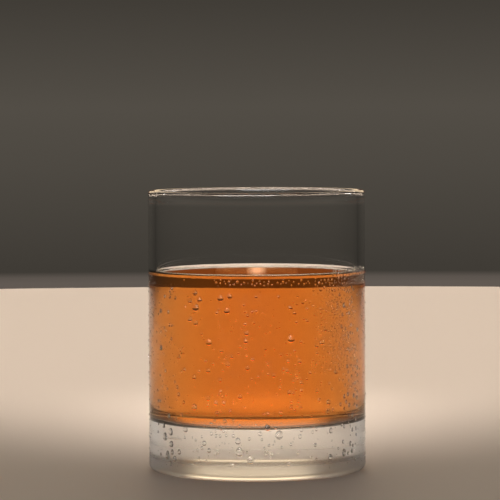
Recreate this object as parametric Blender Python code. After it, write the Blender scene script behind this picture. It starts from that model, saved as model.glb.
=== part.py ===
"""A shot of whisky in its glass: a straight, thick-based tumbler, filled to two thirds.

The two pieces are the tumbler and the whisky, which stands in it as one solid.
Everything is turned about the Z axis. The origin is the middle of the surface that
the tumbler stands on, +Z is up, and all lengths are in metres.
"""

import math

import bpy

# The tumbler
GLASS_DIAMETER = 0.0700
GLASS_HEIGHT = 0.0903
WALL = 0.0025
LIP_ROUNDING = 0.0008
BASE_THICKNESS = 0.0160
INNER_CORNER = 0.0050
FOOT_EDGE = 0.0023
FOOT_RING_WIDTH = 0.0055
UNDERSIDE_RISE = 0.0002

# The whisky
LEVEL = 0.0639
MENISCUS = 0.0013
FIT_GAP = 0.0003

# How finely the round shapes are divided
SIDES = 72
CORNER_STEPS = 6
LIP_STEPS = 8
UNDERSIDE_STEPS = 4
MENISCUS_STEPS = 5
SHARP_ANGLE = math.radians(40)

OUTER_RADIUS = GLASS_DIAMETER / 2
INNER_RADIUS = OUTER_RADIUS - WALL
FOOT_OUTER = OUTER_RADIUS - FOOT_EDGE
FOOT_INNER = FOOT_OUTER - FOOT_RING_WIDTH


def clear_scene():
    for obj in list(bpy.data.objects):
        bpy.data.objects.remove(obj, do_unlink=True)


def arc(centre, radii, start_degrees, end_degrees, steps):
    """Points (r, z) along an arc of a circle or ellipse, both ends included."""
    points = []
    for step in range(steps + 1):
        angle = math.radians(start_degrees + (end_degrees - start_degrees) * step / steps)
        points.append((centre[0] + radii[0] * math.cos(angle), centre[1] + radii[1] * math.sin(angle)))
    return points


def glass_profile():
    """Half section of the tumbler, from the middle of its inner floor over the lip to the underside."""
    corner_centre = (INNER_RADIUS - INNER_CORNER, BASE_THICKNESS + INNER_CORNER)
    lip_centre = (OUTER_RADIUS - WALL / 2, GLASS_HEIGHT - LIP_ROUNDING)
    foot_centre = (FOOT_OUTER, FOOT_EDGE)
    profile = [(0.0, BASE_THICKNESS)]
    profile += arc(corner_centre, (INNER_CORNER, INNER_CORNER), -90, 0, CORNER_STEPS)
    profile += arc(lip_centre, (WALL / 2, LIP_ROUNDING), 180, 0, LIP_STEPS)
    profile += arc(foot_centre, (FOOT_EDGE, FOOT_EDGE), 0, -90, CORNER_STEPS)
    for step in range(UNDERSIDE_STEPS):
        share = step / UNDERSIDE_STEPS
        profile.append((FOOT_INNER * (1 - share), UNDERSIDE_RISE * (1 - (1 - share) ** 2)))
    profile.append((0.0, UNDERSIDE_RISE))
    return profile


def whisky_profile():
    """Half section of the drink, from the middle of its surface down its side to the middle of its floor."""
    side = INNER_RADIUS - FIT_GAP
    floor = BASE_THICKNESS + FIT_GAP
    corner = INNER_CORNER - FIT_GAP
    profile = [(0.0, LEVEL)]
    profile += arc((side - MENISCUS, LEVEL + MENISCUS), (MENISCUS, MENISCUS), -90, 0, MENISCUS_STEPS)
    profile += arc((side - corner, floor + corner), (corner, corner), 0, -90, CORNER_STEPS)
    profile.append((0.0, floor))
    return profile


def principled(name, color, roughness, transmission, ior):
    material = bpy.data.materials.new(name)
    material.use_nodes = True
    shader = material.node_tree.nodes["Principled BSDF"]
    shader.inputs["Base Color"].default_value = (*color, 1.0)
    shader.inputs["Metallic"].default_value = 0.0
    shader.inputs["Roughness"].default_value = roughness
    shader.inputs["Transmission Weight"].default_value = transmission
    shader.inputs["IOR"].default_value = ior
    return material


def turned(name, profile, material):
    """An object turned about Z from a half section that runs down its outer side."""
    mesh = bpy.data.meshes.new(name)
    vertices = [(radius, 0.0, height) for radius, height in profile]
    edges = [(index, index + 1) for index in range(len(profile) - 1)]
    mesh.from_pydata(vertices, edges, [])
    obj = bpy.data.objects.new(name, mesh)
    bpy.context.scene.collection.objects.link(obj)
    screw = obj.modifiers.new("turn", "SCREW")
    screw.axis = "Z"
    screw.angle = math.tau
    screw.steps = SIDES
    screw.render_steps = SIDES
    screw.use_smooth_shade = True
    screw.use_merge_vertices = True
    screw.merge_threshold = 0.00001
    mesh.materials.append(material)
    return obj


def smooth_by_angle(obj):
    """Applies the turning and shades the surface smooth, with sharp edges at real corners."""
    graph = bpy.context.evaluated_depsgraph_get()
    turned_mesh = bpy.data.meshes.new_from_object(obj.evaluated_get(graph))
    obj.modifiers.clear()
    obj.data = turned_mesh
    obj.data.name = obj.name
    obj.data.shade_smooth()
    obj.data.set_sharp_from_angle(angle=SHARP_ANGLE)


def build():
    clear_scene()
    glass = principled("clear_glass", (0.93, 0.95, 0.94), 0.02, 1.0, 1.50)
    spirit = principled("amber_whisky", (0.62, 0.24, 0.03), 0.02, 0.9, 1.36)
    pieces = [
        turned("tumbler", glass_profile(), glass),
        turned("whisky", whisky_profile(), spirit),
    ]
    bpy.context.view_layer.update()
    for piece in pieces:
        smooth_by_angle(piece)


build()
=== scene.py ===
"""Looks for a shot of whisky in its tumbler: clear glass, amber drink and drops of water on the outside."""

import math
import random

import bpy
import bmesh
from bpy.props import FloatProperty, FloatVectorProperty, IntProperty, PointerProperty
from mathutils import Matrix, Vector


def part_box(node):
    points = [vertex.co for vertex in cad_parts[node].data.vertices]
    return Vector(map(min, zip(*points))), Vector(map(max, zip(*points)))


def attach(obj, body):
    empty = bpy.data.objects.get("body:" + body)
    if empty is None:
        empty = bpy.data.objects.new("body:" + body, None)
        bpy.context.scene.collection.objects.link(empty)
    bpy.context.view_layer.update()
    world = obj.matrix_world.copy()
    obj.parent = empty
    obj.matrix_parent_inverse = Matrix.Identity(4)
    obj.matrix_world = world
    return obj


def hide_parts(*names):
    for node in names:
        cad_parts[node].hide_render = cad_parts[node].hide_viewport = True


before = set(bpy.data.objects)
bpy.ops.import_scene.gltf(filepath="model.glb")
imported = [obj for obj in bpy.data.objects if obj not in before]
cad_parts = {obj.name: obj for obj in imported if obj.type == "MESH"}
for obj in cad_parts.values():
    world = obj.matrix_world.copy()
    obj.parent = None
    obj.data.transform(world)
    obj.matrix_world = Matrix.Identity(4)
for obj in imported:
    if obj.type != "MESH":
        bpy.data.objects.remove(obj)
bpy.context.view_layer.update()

bl_info = {
    "name": "Whisky Tumbler",
    "version": (1, 0, 0),
    "blender": (4, 5, 0),
    "location": "3D View > Sidebar > Whisky",
    "description": "Builds a thick-based glass tumbler with a shot of whisky and drops of water on it",
    "category": "Object",
}

BODY = "root"
MM = 0.001

GLASS_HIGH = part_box("tumbler")[1]
DRINK_LOW, DRINK_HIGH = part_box("whisky")
FIT_GAP = 0.3 * MM

# How finely the round shapes are divided
SIDES = 192
FLOOR_SIDES = 128
INNER_SEGMENTS, FOOT_SEGMENTS, LIP_SEGMENTS = 10, 8, 9
UNDERSIDE_STEPS = 6
MENISCUS_STEPS = 14

# The glass: the bevel of each edge of the lip, as a share of the wall, and the level loops of edges.
# The loops in the bead under the lip are in millimetres below the rim.
LIP_BEVEL = 0.47
LIP_WITHIN = 0.01 * MM
LOW_CUTS = (3.2 * MM, 10.0 * MM, 22.0 * MM, 35.0 * MM, 50.0 * MM)
HIGH_CUT = 80.0 * MM
BEAD_CUTS, FIRST_BEAD_CUT, BEAD_CUT_STEP = 12, 1.5, 0.3

# The drink: one loop over its rounded floor, in inner corners, and one under its surface
FLOOR_CUT = 1.4
SURFACE_CUT = 1.0 * MM

# The finish of the glass. It is dry from some way over the drink's edge, and below that it hardly mirrors:
# true of the wet inner wall, and painted shade on the outer wall, where it hides the floor's reflection.
# Its lip is softer than its wall and darker by painted shade, by heights below the rim, and its foot is worn
# up to a height over the ground.
DRY_FROM, DRY_FULL = 3.5 * MM, 5.0 * MM
WET_AND_SHADED_MIRROR, DRY_MIRROR = 0.06, 1.0
LIP_FROM, LIP_FULL = 1.8 * MM, 1.2 * MM
LIP_MIRROR, LIP_ROUGHNESS = 0.6, 0.07
SHADE_FROM, SHADE_FULL = 1.5 * MM, 0.9 * MM
WORN_FULL, WORN_END = 4.5 * MM, 8.0 * MM
FOOT_ROUGHNESS = 0.30
GLASS_TINT, GLASS_STRENGTH = (0.45, 0.55, 0.50), 3.0

# Water and floor
WATER_ROUGHNESS, WATER_IOR = 0.08, 1.33
GRAIN_SHADE, FLOOR_ROUGHNESS, FLOOR_GLOSS = 0.97, 0.6, 0.3
FLOOR_DROP = 0.05 * MM

# One drop, 1 wide, is the front of a ball that is cut a little behind its middle and then flattened.
# Sag makes it narrower and longer above, and fuller below.
DROP_RADIUS = 0.5
DROP_CUT = -0.04
SAG_NARROWS, SAG_LENGTHENS, SAG_FILLS = 0.22, 0.30, 0.25
RIM_WITHIN = 0.001
SHARP_ANGLE = math.radians(75)

# Widths of the four sizes of drops
FINE = (0.25 * MM, 0.6 * MM)
SMALL = (0.5 * MM, 1.0 * MM)
MEDIUM = (0.8 * MM, 1.5 * MM)
LARGE = (1.5 * MM, 2.6 * MM)

# Patches of small drops: left and right angle, 0 in front, then foot and top over the drink's edge
BAND = (-0.45, 0.95, -4.2 * MM, -1.0 * MM)
SIDE = (0.50, 1.10, -32.0 * MM, -3.0 * MM)
EDGE = (0.75, 1.40, -5.0 * MM, 1.5 * MM)
FOOT_CLEAR, LARGE_CLEAR = 0.4 * MM, 4.0 * MM

# How drops are scattered: closeness in widths, tries for each, then the loose runs that half of them
# join, the fading borders of a patch, and the sides and back, where drops are fine and then fewer
SPACING = 1.3
TRIES_EACH = 40
RUN_SHARE, RUN_ACROSS, RUN_DOWN = 0.5, 1.8 * MM, 5.0 * MM
FADE_ANGLE, FADE_HEIGHT = 0.2, 2.5 * MM
SIDE_ANGLE, SIDE_WIDTH = 1.15, 0.7 * MM
BACK_ANGLE, BACK_THINNED = 1.75, 0.5
TALLNESS, TURN = (0.95, 1.2), (-0.2, 0.2)

# Colours of lamps, and the rays that lamps are hidden from
WHITE, BLACK = (1.0, 1.0, 1.0), (0.0, 0.0, 0.0)
WARM = (1.0, 0.84, 0.71)
FLOOR_ONLY = ("visible_glossy", "visible_transmission")
MIRRORED_ONLY = ("visible_transmission", "visible_diffuse")
LAMP_AIM = (0, 0, 0.05)

# The room, by the sine of the height over the horizon
ROOM_SPAN = (-0.1, 0.4)
GREY_TOP, DARK_FOOT, LOW_ROOM, HORIZON, DARK_TOP = -0.0595, -0.0570, -0.020, 0.000, 0.040
BROWN_FOOT, BROWN_TOP, CEILING_FOOT, CEILING_TOP = 0.048, 0.0605, 0.068, 0.35
LOW_LIFT, HORIZON_LIFT = 1.5, 1.7
GLOW_SPAN = (0.0, 0.4)
GLOW_FOOT, GLOW_FULL, GLOW_FADE = 0.100, 0.130, 0.08
SPOT_SPAN, SPOT_EDGES = (0.0, 0.1), (0.0540, 0.0550, 0.0575, 0.0590)

# The room, by bearing
ALL_ROUND = (-math.pi, math.pi)
GLOW_EDGE = math.radians(5)
SIDE_EDGES = [math.radians(angle) for angle in (-50, -15, 15, 50)]
SPOT_WIDTH = [math.radians(angle) for angle in (-1, 1)]
SPOT_SIDES = [math.radians(angle) for angle in (-0.5, -0.1, 0.1, 0.5)]

# The camera: the render's width, and the aim below and beside the horizon's middle, in pixels
RENDER_WIDTH, AIM_DOWN, AIM_ASIDE = 500, 144, 6
CAMERA_ROLL = math.radians(0.25)
SENSOR = 36.0
CLIPPING = (0.05, 20.0)


# ---------------------------------------------------------------- sizes and colours


class TumblerSettings(bpy.types.PropertyGroup):
    radius: FloatProperty(
        name="Radius", description="Outer radius of the glass", unit="LENGTH", default=GLASS_HIGH.x
    )
    height: FloatProperty(name="Height", description="Height of the rim", unit="LENGTH", default=GLASS_HIGH.z)
    wall: FloatProperty(
        name="Wall",
        description="Thickness of the wall",
        unit="LENGTH",
        default=GLASS_HIGH.x - DRINK_HIGH.x - FIT_GAP,
    )
    base: FloatProperty(
        name="Base",
        description="Thickness of the solid base",
        unit="LENGTH",
        default=DRINK_LOW.z - FIT_GAP,
    )
    corner: FloatProperty(
        name="Inner Corner",
        description="Radius between the inner floor and the wall",
        unit="LENGTH",
        default=5.0 * MM,
    )
    lip: FloatProperty(
        name="Lip Rounding",
        description="Height of the rounded lip",
        unit="LENGTH",
        default=0.9 * MM,
    )
    # Painted shade on the lip: its colour is darkened to this share, so it lets less light through
    rim_shade: FloatProperty(
        name="Rim Shade", description="Share of the light that the lip lets through", default=0.42
    )
    bead: FloatProperty(
        name="Bead",
        description="How much the wall thickens under the lip",
        unit="LENGTH",
        default=0.045 * MM,
    )
    bead_height: FloatProperty(
        name="Bead Height",
        description="Height of the thickened part",
        unit="LENGTH",
        default=4.4 * MM,
    )
    foot_edge: FloatProperty(
        name="Foot Edge",
        description="Radius of the outer edge at the foot",
        unit="LENGTH",
        default=2.3 * MM,
    )
    foot_ring: FloatProperty(
        name="Foot Ring",
        description="Width of the flat ring that the glass stands on",
        unit="LENGTH",
        default=5.5 * MM,
    )
    underside_rise: FloatProperty(
        name="Underside Rise",
        description="How far the middle of the underside is raised",
        unit="LENGTH",
        default=0.2 * MM,
    )
    ior: FloatProperty(name="Refraction", description="Index of refraction of the glass", default=1.50)


class WhiskySettings(bpy.types.PropertyGroup):
    level: FloatProperty(
        name="Level",
        description="Height of the flat middle of the surface",
        unit="LENGTH",
        default=DRINK_HIGH.z - 1.0 * MM,
    )
    meniscus: FloatProperty(
        name="Meniscus",
        description="Radius of the curve in which the edge of the surface climbs the wall",
        unit="LENGTH",
        default=0.7 * MM,
    )
    reach: FloatProperty(
        name="Reach",
        description="How far the drink's mesh reaches into the wall, so that no air gap shows",
        unit="LENGTH",
        default=0.12 * MM,
    )
    ior: FloatProperty(name="Refraction", description="Index of refraction of the drink", default=1.36)
    tint: FloatVectorProperty(
        name="Tint",
        description="Colour that the drink lets through",
        subtype="COLOR",
        min=0.0,
        max=1.0,
        default=(0.955, 0.60, 0.035),
    )
    strength: FloatProperty(name="Strength", description="Absorption for each metre of drink", default=55.0)


class DropSettings(bpy.types.PropertyGroup):
    seed: IntProperty(name="Seed", description="Start of the random placing", default=7)
    beads: IntProperty(name="Beads", description="Number of large drops", default=38)
    drops: IntProperty(name="Drops", description="Number of middling drops", default=290)
    mist: IntProperty(name="Mist", description="Number of the finest drops", default=800)
    specks: IntProperty(
        name="Specks",
        description="Small drops at the drink's right edge, half as many along its surface, twice below",
        default=110,
    )
    flatness: FloatProperty(name="Flatness", description="A drop's depth over its width", default=0.28)
    top: FloatProperty(
        name="Top",
        description="Height up to which the glass is cold enough for drops",
        unit="LENGTH",
        default=DRINK_HIGH.z,
    )
    sunk: FloatProperty(
        name="Sunk",
        description="How far a drop's rim reaches into the glass; its back stands a little off the glass",
        unit="LENGTH",
        default=0.02 * MM,
    )


class StageSettings(bpy.types.PropertyGroup):
    floor_radius: FloatProperty(
        name="Floor Radius", description="Radius of the round floor", unit="LENGTH", default=0.947
    )
    floor_color: FloatVectorProperty(
        name="Floor",
        description="Colour of the floor",
        subtype="COLOR",
        min=0.0,
        max=1.0,
        default=(0.80, 0.75, 0.70),
    )
    backdrop_color: FloatVectorProperty(
        name="Backdrop",
        description="Colour of the dark room behind",
        subtype="COLOR",
        min=0.0,
        default=(0.050, 0.044, 0.036),
    )
    grey_color: FloatVectorProperty(
        name="Backdrop Foot",
        description="Colour of the room just over the floor",
        subtype="COLOR",
        min=0.0,
        default=(0.12, 0.10, 0.085),
    )
    brown_color: FloatVectorProperty(
        name="Brown Line",
        description="Colour of the room just under the glow",
        subtype="COLOR",
        min=0.0,
        default=(0.28, 0.065, 0.012),
    )
    band_color: FloatVectorProperty(
        name="Glow",
        description="Colour of the glow low behind the glass",
        subtype="COLOR",
        min=0.0,
        default=(1.45, 1.08, 0.66),
    )
    ceiling_color: FloatVectorProperty(
        name="Ceiling",
        description="Colour of the room overhead",
        subtype="COLOR",
        min=0.0,
        default=(0.22, 0.185, 0.155),
    )
    band_high: FloatProperty(name="Glow Top", description="Sine of the glow's height", default=0.28)
    band_left: FloatProperty(
        name="Glow Left",
        description="Bearing of the glow's left edge",
        unit="ROTATION",
        default=math.radians(-20),
    )
    band_right: FloatProperty(
        name="Glow Right",
        description="Bearing of the glow's right edge",
        unit="ROTATION",
        default=math.radians(27),
    )
    spot_color: FloatVectorProperty(
        name="Spot",
        description="Colour of the small lamp that the drink mirrors",
        subtype="COLOR",
        min=0.0,
        default=(1.0, 0.55, 0.30),
    )
    room_shade: FloatProperty(
        name="Room Shade", description="Share of the room's light that comes from the sides", default=0.4
    )
    side_shade: FloatProperty(
        name="Side Shade", description="Share of the glow that is left all round", default=0.12
    )
    camera_distance: FloatProperty(
        name="Distance", description="Camera's distance from the glass's axis", unit="LENGTH", default=0.932
    )
    camera_height: FloatProperty(
        name="Height", description="Camera's height over the floor", unit="LENGTH", default=0.1174
    )
    lens: FloatProperty(name="Lens", description="Focal length in millimetres", default=208.0)


# ---------------------------------------------------------------- mesh tools


def deselect_all():
    bpy.ops.object.select_all(action="DESELECT")


def activate(obj):
    deselect_all()
    obj.select_set(True)
    bpy.context.view_layer.objects.active = obj


def new_cylinder(name, radius, low, high, sides=SIDES):
    """A closed upright cylinder from low to high, with its place in its mesh."""
    deselect_all()
    bpy.ops.mesh.primitive_cylinder_add(
        vertices=sides,
        radius=radius,
        depth=high - low,
        end_fill_type="NGON",
        location=(0, 0, (low + high) / 2),
    )
    obj = bpy.context.object
    obj.name = name
    obj.data.name = name
    bpy.ops.object.transform_apply(location=True, rotation=True, scale=True)
    return obj


def edit(obj, mode):
    """Opens obj in edit mode with nothing selected, choosing vertices, edges or faces."""
    activate(obj)
    bpy.ops.object.mode_set(mode="EDIT")
    bpy.ops.mesh.select_mode(type=mode)
    bpy.ops.mesh.select_all(action="DESELECT")
    return bmesh.from_edit_mesh(obj.data)


def leave_edit(obj):
    bpy.ops.object.mode_set(mode="OBJECT")
    obj.data.update()


def select_faces(obj, test):
    mesh = edit(obj, "FACE")
    for face in mesh.faces:
        face.select_set(test(face))
    bmesh.update_edit_mesh(obj.data)


def select_edges(obj, test):
    mesh = edit(obj, "EDGE")
    for edge in mesh.edges:
        edge.select_set(test(edge))
    bmesh.update_edit_mesh(obj.data)


def is_cap(height, within=0.01 * MM):
    """Test for the one flat face with many corners at this height."""
    return lambda face: len(face.verts) > 4 and abs(face.calc_center_median().z - height) < within


def is_ring(radius, height, within=0.02 * MM):
    """Test for the edges of the level circle of this radius at this height."""

    def test(edge):
        return all(
            abs(vert.co.z - height) < within and abs(math.hypot(vert.co.x, vert.co.y) - radius) < within
            for vert in edge.verts
        )

    return test


def inset_selected(width, rise=0.0):
    """Insets the selected cap and lifts the inner part."""
    bpy.ops.mesh.inset(thickness=width, depth=0.0)
    if rise:
        bpy.ops.transform.translate(value=(0, 0, rise))


def bevel_ring(obj, radius, height, size, segments):
    select_edges(obj, is_ring(radius, height))
    bpy.ops.mesh.bevel(offset=size, offset_type="OFFSET", segments=segments, profile=0.5, affect="EDGES")
    leave_edit(obj)


def cut_level(obj, height):
    """Adds a level loop of edges right round the piece."""
    edit(obj, "FACE")
    bpy.ops.mesh.select_all(action="SELECT")
    bpy.ops.mesh.bisect(plane_co=(0, 0, height), plane_no=(0, 0, 1))
    leave_edit(obj)


def smooth(obj):
    activate(obj)
    bpy.ops.object.shade_smooth()
    weights = obj.modifiers.new("even normals", "WEIGHTED_NORMAL")
    weights.mode = "FACE_AREA_WITH_ANGLE"
    weights.weight = 90
    weights.keep_sharp = True
    bpy.ops.object.modifier_apply(modifier=weights.name)


def finish_piece(obj, material):
    obj.data.materials.clear()
    obj.data.materials.append(material)
    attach(obj, BODY)
    return obj


# ---------------------------------------------------------------- materials


def new_material(name):
    material = bpy.data.materials.new(name)
    material.use_nodes = True
    nodes = material.node_tree.nodes
    return material, nodes, material.node_tree.links, nodes["Principled BSDF"]


def add_noise(nodes, links, scale, detail, stretch=(1, 1, 1)):
    """Noise on object coordinates, in metres. Returns its node."""
    place = nodes.new("ShaderNodeTexCoord")
    mapping = nodes.new("ShaderNodeMapping")
    mapping.inputs["Scale"].default_value = stretch
    noise = nodes.new("ShaderNodeTexNoise")
    noise.inputs["Scale"].default_value = scale
    noise.inputs["Detail"].default_value = detail
    links.new(place.outputs["Object"], mapping.inputs["Vector"])
    links.new(mapping.outputs["Vector"], noise.inputs["Vector"])
    return noise


def add_bump(nodes, links, source, height, shader):
    bump = nodes.new("ShaderNodeBump")
    bump.inputs["Distance"].default_value = height
    bump.inputs["Strength"].default_value = 1.0
    links.new(source, bump.inputs["Height"])
    links.new(bump.outputs["Normal"], shader.inputs["Normal"])


def add_absorption(material, color, density):
    nodes = material.node_tree.nodes
    volume = nodes.new("ShaderNodeVolumeAbsorption")
    volume.inputs["Color"].default_value = (*color, 1.0)
    volume.inputs["Density"].default_value = density
    material.node_tree.links.new(volume.outputs["Volume"], nodes["Material Output"].inputs["Volume"])


def fade(nodes, links, height, span, values):
    """A value that goes from the first to the second while the height goes through the span."""
    node = nodes.new("ShaderNodeMapRange")
    node.inputs["From Min"].default_value, node.inputs["From Max"].default_value = span
    node.inputs["To Min"].default_value, node.inputs["To Max"].default_value = values
    links.new(height, node.inputs["Value"])
    return node.outputs["Result"]


def combine(nodes, links, operation, first, second):
    """Two values put through one step of arithmetic."""
    node = nodes.new("ShaderNodeMath")
    node.operation = operation
    links.new(first, node.inputs[0])
    links.new(second, node.inputs[1])
    return node.outputs["Value"]


def clear_material(name, ior):
    material, nodes, links, shader = new_material(name)
    shader.inputs["Base Color"].default_value = (*WHITE, 1.0)
    shader.inputs["Transmission Weight"].default_value = 1.0
    shader.inputs["IOR"].default_value = ior
    return material, nodes, links, shader


def glass_material(settings, contact):
    """Clear pressed glass: slightly wavy, worn near the foot, with a lip darkened by painted shade, and
    hardly a mirror where the drink stands, which is true of the wet inner wall and painted shade on the outer
    wall.
    """
    material, nodes, links, shader = clear_material("clear_glass", settings.ior)
    place = nodes.new("ShaderNodeTexCoord")
    parts = nodes.new("ShaderNodeSeparateXYZ")
    links.new(place.outputs["Object"], parts.inputs["Vector"])
    height = parts.outputs["Z"]
    lip = (settings.height - LIP_FROM, settings.height - LIP_FULL)
    shaded = (settings.height - SHADE_FROM, settings.height - SHADE_FULL)
    # Hardly a mirror below the drink's edge: true of the wet inner wall, painted shade on the outer wall
    dry = fade(nodes, links, height, (contact + DRY_FROM, contact + DRY_FULL), (WET_AND_SHADED_MIRROR, DRY_MIRROR))
    # Painted shade: the lip mirrors less than the wall
    shaded_lip_mirror = fade(nodes, links, height, lip, (1.0, LIP_MIRROR))
    links.new(combine(nodes, links, "MULTIPLY", dry, shaded_lip_mirror), shader.inputs["Specular Tint"])
    worn = fade(nodes, links, height, (WORN_FULL, WORN_END), (FOOT_ROUGHNESS, 0.0))
    soft = fade(nodes, links, height, lip, (0.0, LIP_ROUGHNESS))
    links.new(combine(nodes, links, "ADD", worn, soft), shader.inputs["Roughness"])
    # Painted shade: the lip's colour is darkened, so it lets less light through
    painted_lip_shade = fade(nodes, links, height, shaded, (1.0, settings.rim_shade))
    links.new(painted_lip_shade, shader.inputs["Base Color"])
    waves = add_noise(nodes, links, scale=55.0, detail=1.0, stretch=(1, 1, 0.45))
    add_bump(nodes, links, waves.outputs["Fac"], 0.02 * MM, shader)
    add_absorption(material, GLASS_TINT, GLASS_STRENGTH)
    return material


def whisky_material(settings):
    """Clear amber drink, coloured by its depth alone."""
    material, nodes, links, shader = clear_material("amber_whisky", settings.ior)
    shader.inputs["Roughness"].default_value = 0.0
    shader.inputs["Specular Tint"].default_value = (*BLACK, 1.0)
    ripple = add_noise(nodes, links, scale=40.0, detail=0.0)
    add_bump(nodes, links, ripple.outputs["Fac"], 0.01 * MM, shader)
    add_absorption(material, settings.tint, settings.strength)
    return material


def water_material():
    material, nodes, links, shader = clear_material("clear_water", WATER_IOR)
    shader.inputs["Roughness"].default_value = WATER_ROUGHNESS
    ripple = add_noise(nodes, links, scale=300.0, detail=1.0)
    add_bump(nodes, links, ripple.outputs["Fac"], 0.01 * MM, shader)
    return material


def floor_material(color):
    material, nodes, links, shader = new_material("pale_floor")
    grain = add_noise(nodes, links, scale=900.0, detail=3.0)
    shades = nodes.new("ShaderNodeValToRGB")
    shades.color_ramp.elements[0].color = (*[GRAIN_SHADE * part for part in color], 1.0)
    shades.color_ramp.elements[1].color = (*color, 1.0)
    links.new(grain.outputs["Fac"], shades.inputs["Fac"])
    links.new(shades.outputs["Color"], shader.inputs["Base Color"])
    shader.inputs["Roughness"].default_value = FLOOR_ROUGHNESS
    shader.inputs["Specular IOR Level"].default_value = FLOOR_GLOSS
    return material


# ---------------------------------------------------------------- the glass


def swell_rim(obj, middle, height, settings):
    """Thickens the wall towards its inside in a low bead just under the lip."""
    for vertex in obj.data.vertices:
        below = height - vertex.co.z
        span = math.hypot(vertex.co.x, vertex.co.y)
        if below < settings.bead_height and middle - settings.wall < span < middle:
            swell = 0.5 * (1 - math.cos(math.tau * below / settings.bead_height))
            share = (middle - span) / (0.5 * settings.wall)
            scale = (span - settings.bead * swell * share) / span
            vertex.co.x *= scale
            vertex.co.y *= scale


def build_tumbler(settings, contact):
    radius, height, wall, base = settings.radius, settings.height, settings.wall, settings.base
    inner = radius - wall
    obj = new_cylinder("tumbler_glass", radius, 0.0, height)

    select_faces(obj, is_cap(height))
    inset_selected(wall)
    bpy.ops.mesh.extrude_region_move(TRANSFORM_OT_translate={"value": (0, 0, base - height)})
    leave_edit(obj)

    foot = radius - settings.foot_edge
    foot_inner = foot - settings.foot_ring
    select_faces(obj, is_cap(0.0))
    inset_selected(radius - foot_inner)
    reached = 0.0
    for step in range(1, UNDERSIDE_STEPS + 1):
        share = step / (UNDERSIDE_STEPS + 0.5)
        rise = settings.underside_rise * (1 - (1 - share) ** 2)
        inset_selected(foot_inner / (UNDERSIDE_STEPS + 0.5), rise - reached)
        reached = rise
    bpy.ops.mesh.poke()
    leave_edit(obj)

    bevel_ring(obj, inner, base, settings.corner, INNER_SEGMENTS)
    bevel_ring(obj, radius, 0.0, settings.foot_edge, FOOT_SEGMENTS)
    select_edges(obj, lambda edge: is_ring(radius, height)(edge) or is_ring(inner, height)(edge))
    bevel = LIP_BEVEL * wall
    bpy.ops.mesh.bevel(
        offset=bevel, offset_type="OFFSET", segments=LIP_SEGMENTS, profile=0.5, affect="EDGES"
    )
    leave_edit(obj)
    for vertex in obj.data.vertices:
        below = height - vertex.co.z
        if below < bevel + LIP_WITHIN:
            vertex.co.z = height - below * settings.lip / bevel
    for level in (*LOW_CUTS, contact, HIGH_CUT):
        cut_level(obj, level)
    for step in range(BEAD_CUTS):
        cut_level(obj, height - (FIRST_BEAD_CUT + BEAD_CUT_STEP * step) * MM)
    swell_rim(obj, radius - 0.5 * wall, height, settings)
    smooth(obj)
    return obj


# ---------------------------------------------------------------- the drink


def build_whisky(settings, tumbler):
    side = tumbler.radius - tumbler.wall + settings.reach
    floor = tumbler.base - settings.reach
    obj = new_cylinder("whisky_drink", side, floor, settings.level + settings.meniscus)

    select_faces(obj, is_cap(settings.level + settings.meniscus))
    inset_selected(settings.reach)
    inwards, down = 0.0, 0.0
    for step in range(1, MENISCUS_STEPS + 1):
        angle = math.radians(90) * step / MENISCUS_STEPS
        place = settings.meniscus * (1 - math.cos(angle)), settings.meniscus * math.sin(angle)
        inset_selected(place[0] - inwards, down - place[1])
        inwards, down = place
    inset_selected(settings.meniscus)
    leave_edit(obj)
    bevel_ring(obj, side, floor, tumbler.corner + settings.reach, INNER_SEGMENTS)
    cut_level(obj, floor + FLOOR_CUT * tumbler.corner)
    cut_level(obj, settings.level - SURFACE_CUT)
    smooth(obj)
    return obj


# ---------------------------------------------------------------- drops of water


def drop_form(segments, rings, thickness, sag):
    """Vertices and faces of one drop, 1 wide: x across, y up and z outwards from its rim at z = 0.

    The flattening also moves the cut back. It ends up a little in front of the rim, where the two cross.
    """
    deselect_all()
    bpy.ops.mesh.primitive_uv_sphere_add(
        segments=segments, ring_count=rings, radius=DROP_RADIUS, location=(0, 0, 0)
    )
    obj = bpy.context.object
    bpy.ops.object.mode_set(mode="EDIT")
    bpy.ops.mesh.select_all(action="SELECT")
    bpy.ops.mesh.bisect(plane_co=(0, 0, DROP_CUT), plane_no=(0, 0, 1), clear_inner=True, use_fill=True)
    leave_edit(obj)
    for vertex in obj.data.vertices:
        place = vertex.co
        away = min(DROP_RADIUS**2, place.x**2 + place.y**2) / DROP_RADIUS**2
        low = max(0.0, -place.y / DROP_RADIUS)
        high = max(0.0, place.y / DROP_RADIUS)
        place.x *= 1.0 - SAG_NARROWS * sag * high
        place.y *= 1.0 + SAG_LENGTHENS * sag * high
        place.z = thickness * (1 - away) ** 0.5 * (1.0 + SAG_FILLS * sag * (low - high))
    vertices = [tuple(vertex.co) for vertex in obj.data.vertices]
    faces = [tuple(face.vertices) for face in obj.data.polygons]
    mesh = obj.data
    bpy.data.objects.remove(obj)
    bpy.data.meshes.remove(mesh)
    return vertices, faces


def join_drops(name, form, places, radius, sunk):
    """One mesh with a drop at each place: (angle, height, width, tallness, turn)."""
    base_vertices, base_faces = form
    vertices, faces = [], []
    for angle, height, width, tall, turn in places:
        first = len(vertices)
        cos, sin = math.cos(turn), math.sin(turn)
        for x, y, z in base_vertices:
            across = (x * cos - y * sin) * width
            up = (x * sin + y * cos) * width * tall
            out = radius + z * width if z > RIM_WITHIN else radius - sunk
            around = angle + across / radius
            vertices.append((out * math.sin(around), -out * math.cos(around), height + up))
        faces += [tuple(first + index for index in face) for face in base_faces]
    mesh = bpy.data.meshes.new(name)
    mesh.from_pydata(vertices, [], faces)
    mesh.update()
    obj = bpy.data.objects.new(name, mesh)
    bpy.context.scene.collection.objects.link(obj)
    activate(obj)
    bpy.ops.object.shade_smooth()
    mesh.set_sharp_from_angle(angle=SHARP_ANGLE)
    return obj


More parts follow.
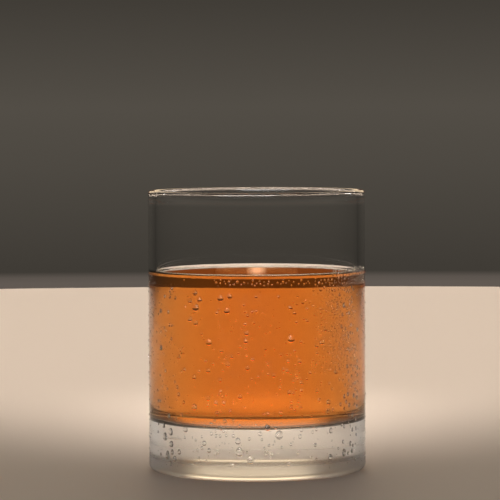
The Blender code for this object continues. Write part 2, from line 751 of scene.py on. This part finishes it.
def scatter(rng, count, patch, widths, taken, radius):
    """Free places for drops in a patch (left, right, low, high), in loose runs, and only fine ones behind."""
    left, right, low, high = patch
    places = []
    tries = 0
    while len(places) < count and tries < count * TRIES_EACH:
        tries += 1
        width = widths[0] + (widths[1] - widths[0]) * rng.random() ** 2
        if places and rng.random() < RUN_SHARE:
            near = places[rng.randrange(len(places))]
            angle = near[0] + rng.gauss(0, RUN_ACROSS) / radius
            height = near[1] + rng.gauss(0, RUN_DOWN)
        else:
            angle = rng.uniform(left, right)
            height = rng.uniform(low, high)
        if not low + width < height < high - width:
            continue
        share = min((angle - left) / FADE_ANGLE, (right - angle) / FADE_ANGLE, (high - height) / FADE_HEIGHT)
        if rng.random() > share:
            continue
        thinned = BACK_THINNED * (abs(angle) > BACK_ANGLE)
        if abs(angle) > SIDE_ANGLE and (width > SIDE_WIDTH or rng.random() < thinned):
            continue
        if any(
            math.hypot((angle - other[0]) * radius, height - other[1]) < SPACING * (width + other[2]) / 2
            for other in taken
        ):
            continue
        place = (angle, height, width, rng.uniform(*TALLNESS), rng.uniform(*TURN))
        places.append(place)
        taken.append(place)
    return places


# ---------------------------------------------------------------- the stage


def area_light(name, place, aim, size, power, color=WHITE, spread=180, shape="RECTANGLE", hidden=()):
    bpy.ops.object.light_add(type="AREA", location=place)
    lamp = bpy.context.object
    lamp.name = name
    lamp.rotation_euler = (Vector(aim) - Vector(place)).to_track_quat("-Z", "Y").to_euler()
    lamp.data.shape = shape
    lamp.data.size, lamp.data.size_y = size
    lamp.data.energy = power
    lamp.data.color = color
    lamp.data.spread = math.radians(spread)
    for rays in hidden:
        setattr(lamp, rays, False)
    return lamp


def build_floor(settings):
    deselect_all()
    bpy.ops.mesh.primitive_circle_add(
        vertices=FLOOR_SIDES, radius=settings.floor_radius, fill_type="NGON", location=(0, 0, -FLOOR_DROP)
    )
    obj = bpy.context.object
    obj.name = "pale_floor"
    obj.data.materials.append(floor_material(settings.floor_color))


def ramp(nodes, links, value, span, stops):
    """Colours over a span of values, from (value, colour) pairs."""
    low, high = span
    place = nodes.new("ShaderNodeMapRange")
    place.inputs["From Min"].default_value = low
    place.inputs["From Max"].default_value = high
    links.new(value, place.inputs["Value"])
    node = nodes.new("ShaderNodeValToRGB")
    elements = node.color_ramp.elements
    while len(elements) < len(stops):
        elements.new(1.0)
    for element, (at, color) in zip(elements, stops):
        element.position = (at - low) / (high - low)
        element.color = (*color, 1.0)
    links.new(place.outputs["Result"], node.inputs["Fac"])
    return node.outputs["Color"]


def window(nodes, links, value, span, edges, inside, outside):
    """One colour between the two inner edges, fading to another by the two outer ones."""
    start, full, last, end = edges
    stops = ((start, outside), (full, inside), (last, inside), (end, outside))
    return ramp(nodes, links, value, span, stops)


def mix(nodes, links, operation, *sources):
    """Colours put through one step of arithmetic. Each is a socket or a fixed colour."""
    node = nodes.new("ShaderNodeVectorMath")
    node.operation = operation
    for source, socket in zip(sources, node.inputs):
        if isinstance(source, bpy.types.NodeSocket):
            links.new(source, socket)
        else:
            socket.default_value = source
    return node.outputs["Vector"]


def build_world(settings):
    """A dark room with a warm glow low behind the glass, a dim ceiling and one small lamp."""
    world = bpy.data.worlds.new("studio")
    world.use_nodes = True
    nodes, links = world.node_tree.nodes, world.node_tree.links
    direction = nodes.new("ShaderNodeTexCoord")
    parts = nodes.new("ShaderNodeSeparateXYZ")
    links.new(direction.outputs["Generated"], parts.inputs["Vector"])
    height = parts.outputs["Z"]
    bearing = combine(nodes, links, "ARCTAN2", parts.outputs["X"], parts.outputs["Y"])

    dark, grey = settings.backdrop_color, settings.grey_color
    brown, dim = settings.brown_color, settings.ceiling_color
    stops = (
        (GREY_TOP, grey),
        (DARK_FOOT, dark),
        (LOW_ROOM, [LOW_LIFT * part for part in dark]),
        (HORIZON, [HORIZON_LIFT * part for part in dark]),
        (DARK_TOP, dark),
        (BROWN_FOOT, brown),
        (BROWN_TOP, brown),
        (CEILING_FOOT, dim),
        (CEILING_TOP, dim),
    )
    room = ramp(nodes, links, height, ROOM_SPAN, stops)
    shade = [settings.room_shade] * 3
    sides = window(nodes, links, bearing, ALL_ROUND, SIDE_EDGES, WHITE, shade)
    shaded = mix(nodes, links, "MULTIPLY", room, sides)

    heights = (GLOW_FOOT, GLOW_FULL, settings.band_high, settings.band_high + GLOW_FADE)
    band = window(nodes, links, height, GLOW_SPAN, heights, WHITE, BLACK)
    left, right = settings.band_left, settings.band_right
    bearings = (left - GLOW_EDGE, left + GLOW_EDGE, right - GLOW_EDGE, right + GLOW_EDGE)
    glow = window(nodes, links, bearing, ALL_ROUND, bearings, WHITE, [settings.side_shade] * 3)
    warm = mix(nodes, links, "MULTIPLY", band, glow)

    line = window(nodes, links, height, SPOT_SPAN, SPOT_EDGES, settings.spot_color, BLACK)
    across = window(nodes, links, bearing, SPOT_WIDTH, SPOT_SIDES, WHITE, BLACK)
    spot = mix(nodes, links, "MULTIPLY_ADD", line, across, shaded)
    tinted = mix(nodes, links, "MULTIPLY_ADD", warm, settings.band_color, spot)
    links.new(tinted, nodes["Background"].inputs["Color"])
    bpy.context.scene.world = world


def build_camera(settings):
    data = bpy.data.cameras.new("camera")
    data.lens = settings.lens
    data.sensor_width = SENSOR
    data.clip_start, data.clip_end = CLIPPING
    obj = bpy.data.objects.new("camera", data)
    bpy.context.scene.collection.objects.link(obj)
    pixel = data.sensor_width / data.lens / RENDER_WIDTH
    down = math.atan(AIM_DOWN * pixel)
    aside = math.atan(AIM_ASIDE * pixel)
    obj.location = (0, -settings.camera_distance, settings.camera_height)
    obj.rotation_euler = (math.radians(90) - down, CAMERA_ROLL, aside)
    bpy.context.scene.camera = obj


def build_lights():
    """Lamps that light the floor alone, one panel behind, and panels that only surfaces mirror."""
    overhead = area_light(
        "overhead", place=(0.0, 0.2, 1.2), aim=(0, 0.2, 0), size=(0.9, 0.9), power=1.2, color=WARM,
        hidden=FLOOR_ONLY,
    )
    area_light(
        "pool", place=(0.0, 0.67, 0.50), aim=(0, 0.67, 0), size=(1.15, 1.1), power=2.08, color=WARM,
        spread=35, shape="ELLIPSE", hidden=FLOOR_ONLY,
    )
    near_pool = area_light(
        "near_pool", place=(0.0, 0.15, 0.30), aim=(0, 0.15, 0), size=(0.09, 0.22), power=0.036, color=WARM,
        spread=30, shape="ELLIPSE", hidden=FLOOR_ONLY,
    )
    for lamp in (overhead, near_pool):
        lamp.data.use_shadow = False
    area_light("back_panel", place=(0.0, 1.35, 0.85), aim=LAMP_AIM, size=(1.2, 0.9), power=0.9, color=WARM)
    for name, place, size, power in (
        ("right_window", (0.80, 0.45, 0.40), (0.12, 0.26), 2.0),
        ("front_panel", (-0.20, -1.15, 0.68), (1.5, 1.15), 42.0),
        ("left_window", (-0.80, 0.45, 0.40), (0.06, 0.12), 0.6),
    ):
        area_light(name, place, LAMP_AIM, size, power, hidden=MIRRORED_ONLY)


# ---------------------------------------------------------------- operators


class WHISKY_OT_tumbler(bpy.types.Operator):
    """Build the glass tumbler"""

    bl_idname = "whisky.tumbler"
    bl_label = "Tumbler"

    def execute(self, context):
        settings, drink = context.scene.whisky_tumbler, context.scene.whisky_drink
        contact = drink.level + drink.meniscus
        obj = build_tumbler(settings, contact)
        finish_piece(obj, glass_material(settings, contact))
        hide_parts("tumbler")
        return {"FINISHED"}


class WHISKY_OT_drink(bpy.types.Operator):
    """Build the whisky with its raised edge"""

    bl_idname = "whisky.drink"
    bl_label = "Whisky"

    def execute(self, context):
        settings = context.scene.whisky_drink
        obj = build_whisky(settings, context.scene.whisky_tumbler)
        finish_piece(obj, whisky_material(settings))
        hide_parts("whisky")
        return {"FINISHED"}


class WHISKY_OT_drops(bpy.types.Operator):
    """Scatter drops of water over the cold part of the glass"""

    bl_idname = "whisky.drops"
    bl_label = "Water Drops"

    def execute(self, context):
        settings = context.scene.whisky_drops
        tumbler = context.scene.whisky_tumbler
        rng = random.Random(settings.seed)
        water = water_material()
        taken = []
        flat, top = settings.flatness, settings.top
        foot = tumbler.foot_edge + FOOT_CLEAR
        cold = (*ALL_ROUND, foot, top)
        below = (*ALL_ROUND, foot, top - LARGE_CLEAR)
        band, side, edge = [
            (left, right, top + low, top + high) for left, right, low, high in (BAND, SIDE, EDGE)
        ]
        kinds = (
            (
                "water_beads",
                {"segments": 16, "rings": 10, "thickness": flat, "sag": 0.5},
                ((below, settings.beads, LARGE),),
            ),
            (
                "water_drops",
                {"segments": 12, "rings": 8, "thickness": 0.9 * flat, "sag": 0.3},
                ((below, settings.drops, MEDIUM),),
            ),
            (
                "water_mist",
                {"segments": 8, "rings": 6, "thickness": flat, "sag": 0.2},
                (
                    (band, settings.specks // 2, SMALL),
                    (side, 2 * settings.specks, SMALL),
                    (edge, settings.specks, SMALL),
                    (cold, settings.mist, FINE),
                ),
            ),
        )
        for name, form, patches in kinds:
            places = []
            for patch, count, widths in patches:
                places += scatter(rng, count, patch, widths, taken, tumbler.radius)
            obj = join_drops(name, drop_form(**form), places, tumbler.radius, settings.sunk)
            finish_piece(obj, water)
        return {"FINISHED"}


class WHISKY_OT_stage(bpy.types.Operator):
    """Build the floor, the lights and the camera"""

    bl_idname = "whisky.stage"
    bl_label = "Stage"

    def execute(self, context):
        settings = context.scene.whisky_stage
        build_floor(settings)
        build_world(settings)
        build_lights()
        build_camera(settings)
        context.scene.view_settings.view_transform = "Standard"
        return {"FINISHED"}


class WHISKY_PT_panel(bpy.types.Panel):
    """Buttons and sizes for the whisky tumbler"""

    bl_idname = "WHISKY_PT_panel"
    bl_label = "Whisky Tumbler"
    bl_space_type = "VIEW_3D"
    bl_region_type = "UI"
    bl_category = "Whisky"

    def draw(self, context):
        for operator, group in STEPS:
            box = self.layout.box()
            box.operator(operator)
            settings = getattr(context.scene, group)
            for name in settings.bl_rna.properties.keys():
                if name not in ("rna_type", "name"):
                    box.prop(settings, name)


STEPS = (
    ("whisky.tumbler", "whisky_tumbler"),
    ("whisky.drink", "whisky_drink"),
    ("whisky.drops", "whisky_drops"),
    ("whisky.stage", "whisky_stage"),
)
GROUPS = (
    ("whisky_tumbler", TumblerSettings),
    ("whisky_drink", WhiskySettings),
    ("whisky_drops", DropSettings),
    ("whisky_stage", StageSettings),
)
CLASSES = (WHISKY_OT_tumbler, WHISKY_OT_drink, WHISKY_OT_drops, WHISKY_OT_stage, WHISKY_PT_panel)


def register():
    for name, group in GROUPS:
        bpy.utils.register_class(group)
        setattr(bpy.types.Scene, name, PointerProperty(type=group))
    for cls in CLASSES:
        bpy.utils.register_class(cls)


def unregister():
    for cls in reversed(CLASSES):
        bpy.utils.unregister_class(cls)
    for name, group in reversed(GROUPS):
        delattr(bpy.types.Scene, name)
        bpy.utils.unregister_class(group)


def main():
    register()
    bpy.ops.whisky.tumbler()
    bpy.ops.whisky.drink()
    bpy.ops.whisky.drops()
    bpy.ops.whisky.stage()


if __name__ == "__main__":
    main()
